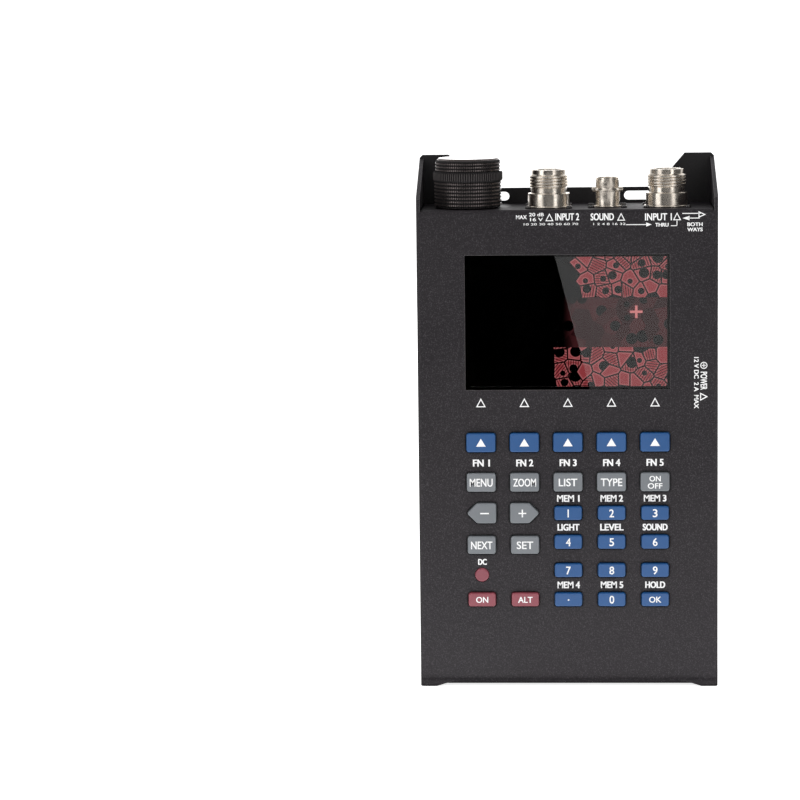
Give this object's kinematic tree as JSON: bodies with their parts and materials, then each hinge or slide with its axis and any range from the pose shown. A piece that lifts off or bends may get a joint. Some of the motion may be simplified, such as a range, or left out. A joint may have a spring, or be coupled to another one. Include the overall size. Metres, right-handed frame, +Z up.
{
  "type": "antenna analyzer",
  "caption": "Handheld antenna analyzer in a folded sheet case with a colour screen, a keypad, a tuning knob, two threaded test ports and a bayonet audio socket.",
  "frame": {"origin": "middle of the base, on the surface it stands on", "axes": "+Z up towards the connectors, -Y out of the screen and keys, +X to the right of the user"},
  "size_m": [0.122, 0.0432, 0.2168],
  "materials": {
    "case": "fine textured black powder coat",
    "cover": "fine textured black powder coat",
    "black_screw": "black oxide",
    "window": "clear acrylic, polished",
    "foam": "closed-cell foam",
    "lcd": "display module, dark",
    "steel_sheet": "zinc plated",
    "silicone": "moulded silicone, matt",
    "circuit_board": "green solder mask",
    "lamp_lens": "tinted translucent red",
    "black_plastic": "moulded black",
    "battery_wrap": "heat-shrink sleeve",
    "nickel": "warm nickel plate",
    "insulator": "white fluoropolymer",
    "gold_contact": "gold plated",
    "knob": "black, ribbed grip",
    "blue_key": "satin moulded blue",
    "grey_key": "satin moulded grey",
    "red_key": "satin moulded red"
  },
  "bodies": {
    "chassis": {"front_shell": "case", "back_cover": "cover", "cover_screws": "black_screw", "display_window": "window", "window_gasket": "foam", "lcd_panel": "lcd", "lcd_bracket": "steel_sheet", "keypad_mat": "silicone", "keypad_board": "circuit_board", "charge_lamp": "lamp_lens", "charge_led": "lamp_lens", "board_standoffs": "steel_sheet", "board_screws": "steel_sheet", "main_board": "circuit_board", "rf_shield": "steel_sheet", "buzzer": "black_plastic", "battery_pack": "battery_wrap", "battery_bracket": "steel_sheet", "port_1_shell": "nickel", "port_2_shell": "nickel", "port_insulators": "insulator", "port_contacts": "gold_contact", "audio_socket_shell": "nickel", "audio_socket_insulator": "insulator", "audio_socket_contact": "gold_contact", "connector_screws": "black_screw", "encoder_body": "black_plastic", "encoder_nut": "nickel", "power_inlet": "black_plastic"},
    "knob": {"tuning_knob": "knob", "encoder_shaft": "nickel"},
    "soft_key_1": {"soft_key_1": "blue_key"},
    "soft_key_2": {"soft_key_2": "blue_key"},
    "soft_key_3": {"soft_key_3": "blue_key"},
    "soft_key_4": {"soft_key_4": "blue_key"},
    "soft_key_5": {"soft_key_5": "blue_key"},
    "menu_key_1": {"menu_key_1": "grey_key"},
    "menu_key_2": {"menu_key_2": "grey_key"},
    "menu_key_3": {"menu_key_3": "grey_key"},
    "menu_key_4": {"menu_key_4": "grey_key"},
    "menu_key_5": {"menu_key_5": "grey_key"},
    "minus_key": {"minus_key": "grey_key"},
    "plus_key": {"plus_key": "grey_key"},
    "marker_key": {"marker_key": "grey_key"},
    "level_key": {"level_key": "grey_key"},
    "digit_key_1": {"digit_key_1": "blue_key"},
    "digit_key_2": {"digit_key_2": "blue_key"},
    "digit_key_3": {"digit_key_3": "blue_key"},
    "digit_key_4": {"digit_key_4": "blue_key"},
    "digit_key_5": {"digit_key_5": "blue_key"},
    "digit_key_6": {"digit_key_6": "blue_key"},
    "digit_key_7": {"digit_key_7": "blue_key"},
    "digit_key_8": {"digit_key_8": "blue_key"},
    "digit_key_9": {"digit_key_9": "blue_key"},
    "power_key": {"power_key": "red_key"},
    "shift_key": {"shift_key": "red_key"},
    "point_key": {"point_key": "blue_key"},
    "digit_key_0": {"digit_key_0": "blue_key"},
    "enter_key": {"enter_key": "blue_key"}
  },
  "joints": [
    {"name": "knob_turn", "type": "hinge", "parent": "chassis", "child": "knob", "pos_m": [-0.0403, -0.004, 0.205], "axis": [0, 0, 1], "continuous": true},
    {"name": "soft_key_1_press", "type": "slide", "parent": "chassis", "child": "soft_key_1", "axis": [0, 1, 0], "range_m": [0, 0.001], "stiffness_N_per_m": 900},
    {"name": "soft_key_2_press", "type": "slide", "parent": "chassis", "child": "soft_key_2", "axis": [0, 1, 0], "range_m": [0, 0.001], "stiffness_N_per_m": 900},
    {"name": "soft_key_3_press", "type": "slide", "parent": "chassis", "child": "soft_key_3", "axis": [0, 1, 0], "range_m": [0, 0.001], "stiffness_N_per_m": 900},
    {"name": "soft_key_4_press", "type": "slide", "parent": "chassis", "child": "soft_key_4", "axis": [0, 1, 0], "range_m": [0, 0.001], "stiffness_N_per_m": 900},
    {"name": "soft_key_5_press", "type": "slide", "parent": "chassis", "child": "soft_key_5", "axis": [0, 1, 0], "range_m": [0, 0.001], "stiffness_N_per_m": 900},
    {"name": "menu_key_1_press", "type": "slide", "parent": "chassis", "child": "menu_key_1", "axis": [0, 1, 0], "range_m": [0, 0.001], "stiffness_N_per_m": 900},
    {"name": "menu_key_2_press", "type": "slide", "parent": "chassis", "child": "menu_key_2", "axis": [0, 1, 0], "range_m": [0, 0.001], "stiffness_N_per_m": 900},
    {"name": "menu_key_3_press", "type": "slide", "parent": "chassis", "child": "menu_key_3", "axis": [0, 1, 0], "range_m": [0, 0.001], "stiffness_N_per_m": 900},
    {"name": "menu_key_4_press", "type": "slide", "parent": "chassis", "child": "menu_key_4", "axis": [0, 1, 0], "range_m": [0, 0.001], "stiffness_N_per_m": 900},
    {"name": "menu_key_5_press", "type": "slide", "parent": "chassis", "child": "menu_key_5", "axis": [0, 1, 0], "range_m": [0, 0.001], "stiffness_N_per_m": 900},
    {"name": "minus_key_press", "type": "slide", "parent": "chassis", "child": "minus_key", "axis": [0, 1, 0], "range_m": [0, 0.001], "stiffness_N_per_m": 900},
    {"name": "plus_key_press", "type": "slide", "parent": "chassis", "child": "plus_key", "axis": [0, 1, 0], "range_m": [0, 0.001], "stiffness_N_per_m": 900},
    {"name": "marker_key_press", "type": "slide", "parent": "chassis", "child": "marker_key", "axis": [0, 1, 0], "range_m": [0, 0.001], "stiffness_N_per_m": 900},
    {"name": "level_key_press", "type": "slide", "parent": "chassis", "child": "level_key", "axis": [0, 1, 0], "range_m": [0, 0.001], "stiffness_N_per_m": 900},
    {"name": "digit_key_1_press", "type": "slide", "parent": "chassis", "child": "digit_key_1", "axis": [0, 1, 0], "range_m": [0, 0.001], "stiffness_N_per_m": 900},
    {"name": "digit_key_2_press", "type": "slide", "parent": "chassis", "child": "digit_key_2", "axis": [0, 1, 0], "range_m": [0, 0.001], "stiffness_N_per_m": 900},
    {"name": "digit_key_3_press", "type": "slide", "parent": "chassis", "child": "digit_key_3", "axis": [0, 1, 0], "range_m": [0, 0.001], "stiffness_N_per_m": 900},
    {"name": "digit_key_4_press", "type": "slide", "parent": "chassis", "child": "digit_key_4", "axis": [0, 1, 0], "range_m": [0, 0.001], "stiffness_N_per_m": 900},
    {"name": "digit_key_5_press", "type": "slide", "parent": "chassis", "child": "digit_key_5", "axis": [0, 1, 0], "range_m": [0, 0.001], "stiffness_N_per_m": 900},
    {"name": "digit_key_6_press", "type": "slide", "parent": "chassis", "child": "digit_key_6", "axis": [0, 1, 0], "range_m": [0, 0.001], "stiffness_N_per_m": 900},
    {"name": "digit_key_7_press", "type": "slide", "parent": "chassis", "child": "digit_key_7", "axis": [0, 1, 0], "range_m": [0, 0.001], "stiffness_N_per_m": 900},
    {"name": "digit_key_8_press", "type": "slide", "parent": "chassis", "child": "digit_key_8", "axis": [0, 1, 0], "range_m": [0, 0.001], "stiffness_N_per_m": 900},
    {"name": "digit_key_9_press", "type": "slide", "parent": "chassis", "child": "digit_key_9", "axis": [0, 1, 0], "range_m": [0, 0.001], "stiffness_N_per_m": 900},
    {"name": "power_key_press", "type": "slide", "parent": "chassis", "child": "power_key", "axis": [0, 1, 0], "range_m": [0, 0.001], "stiffness_N_per_m": 900},
    {"name": "shift_key_press", "type": "slide", "parent": "chassis", "child": "shift_key", "axis": [0, 1, 0], "range_m": [0, 0.001], "stiffness_N_per_m": 900},
    {"name": "point_key_press", "type": "slide", "parent": "chassis", "child": "point_key", "axis": [0, 1, 0], "range_m": [0, 0.001], "stiffness_N_per_m": 900},
    {"name": "digit_key_0_press", "type": "slide", "parent": "chassis", "child": "digit_key_0", "axis": [0, 1, 0], "range_m": [0, 0.001], "stiffness_N_per_m": 900},
    {"name": "enter_key_press", "type": "slide", "parent": "chassis", "child": "enter_key", "axis": [0, 1, 0], "range_m": [0, 0.001], "stiffness_N_per_m": 900}
  ]
}
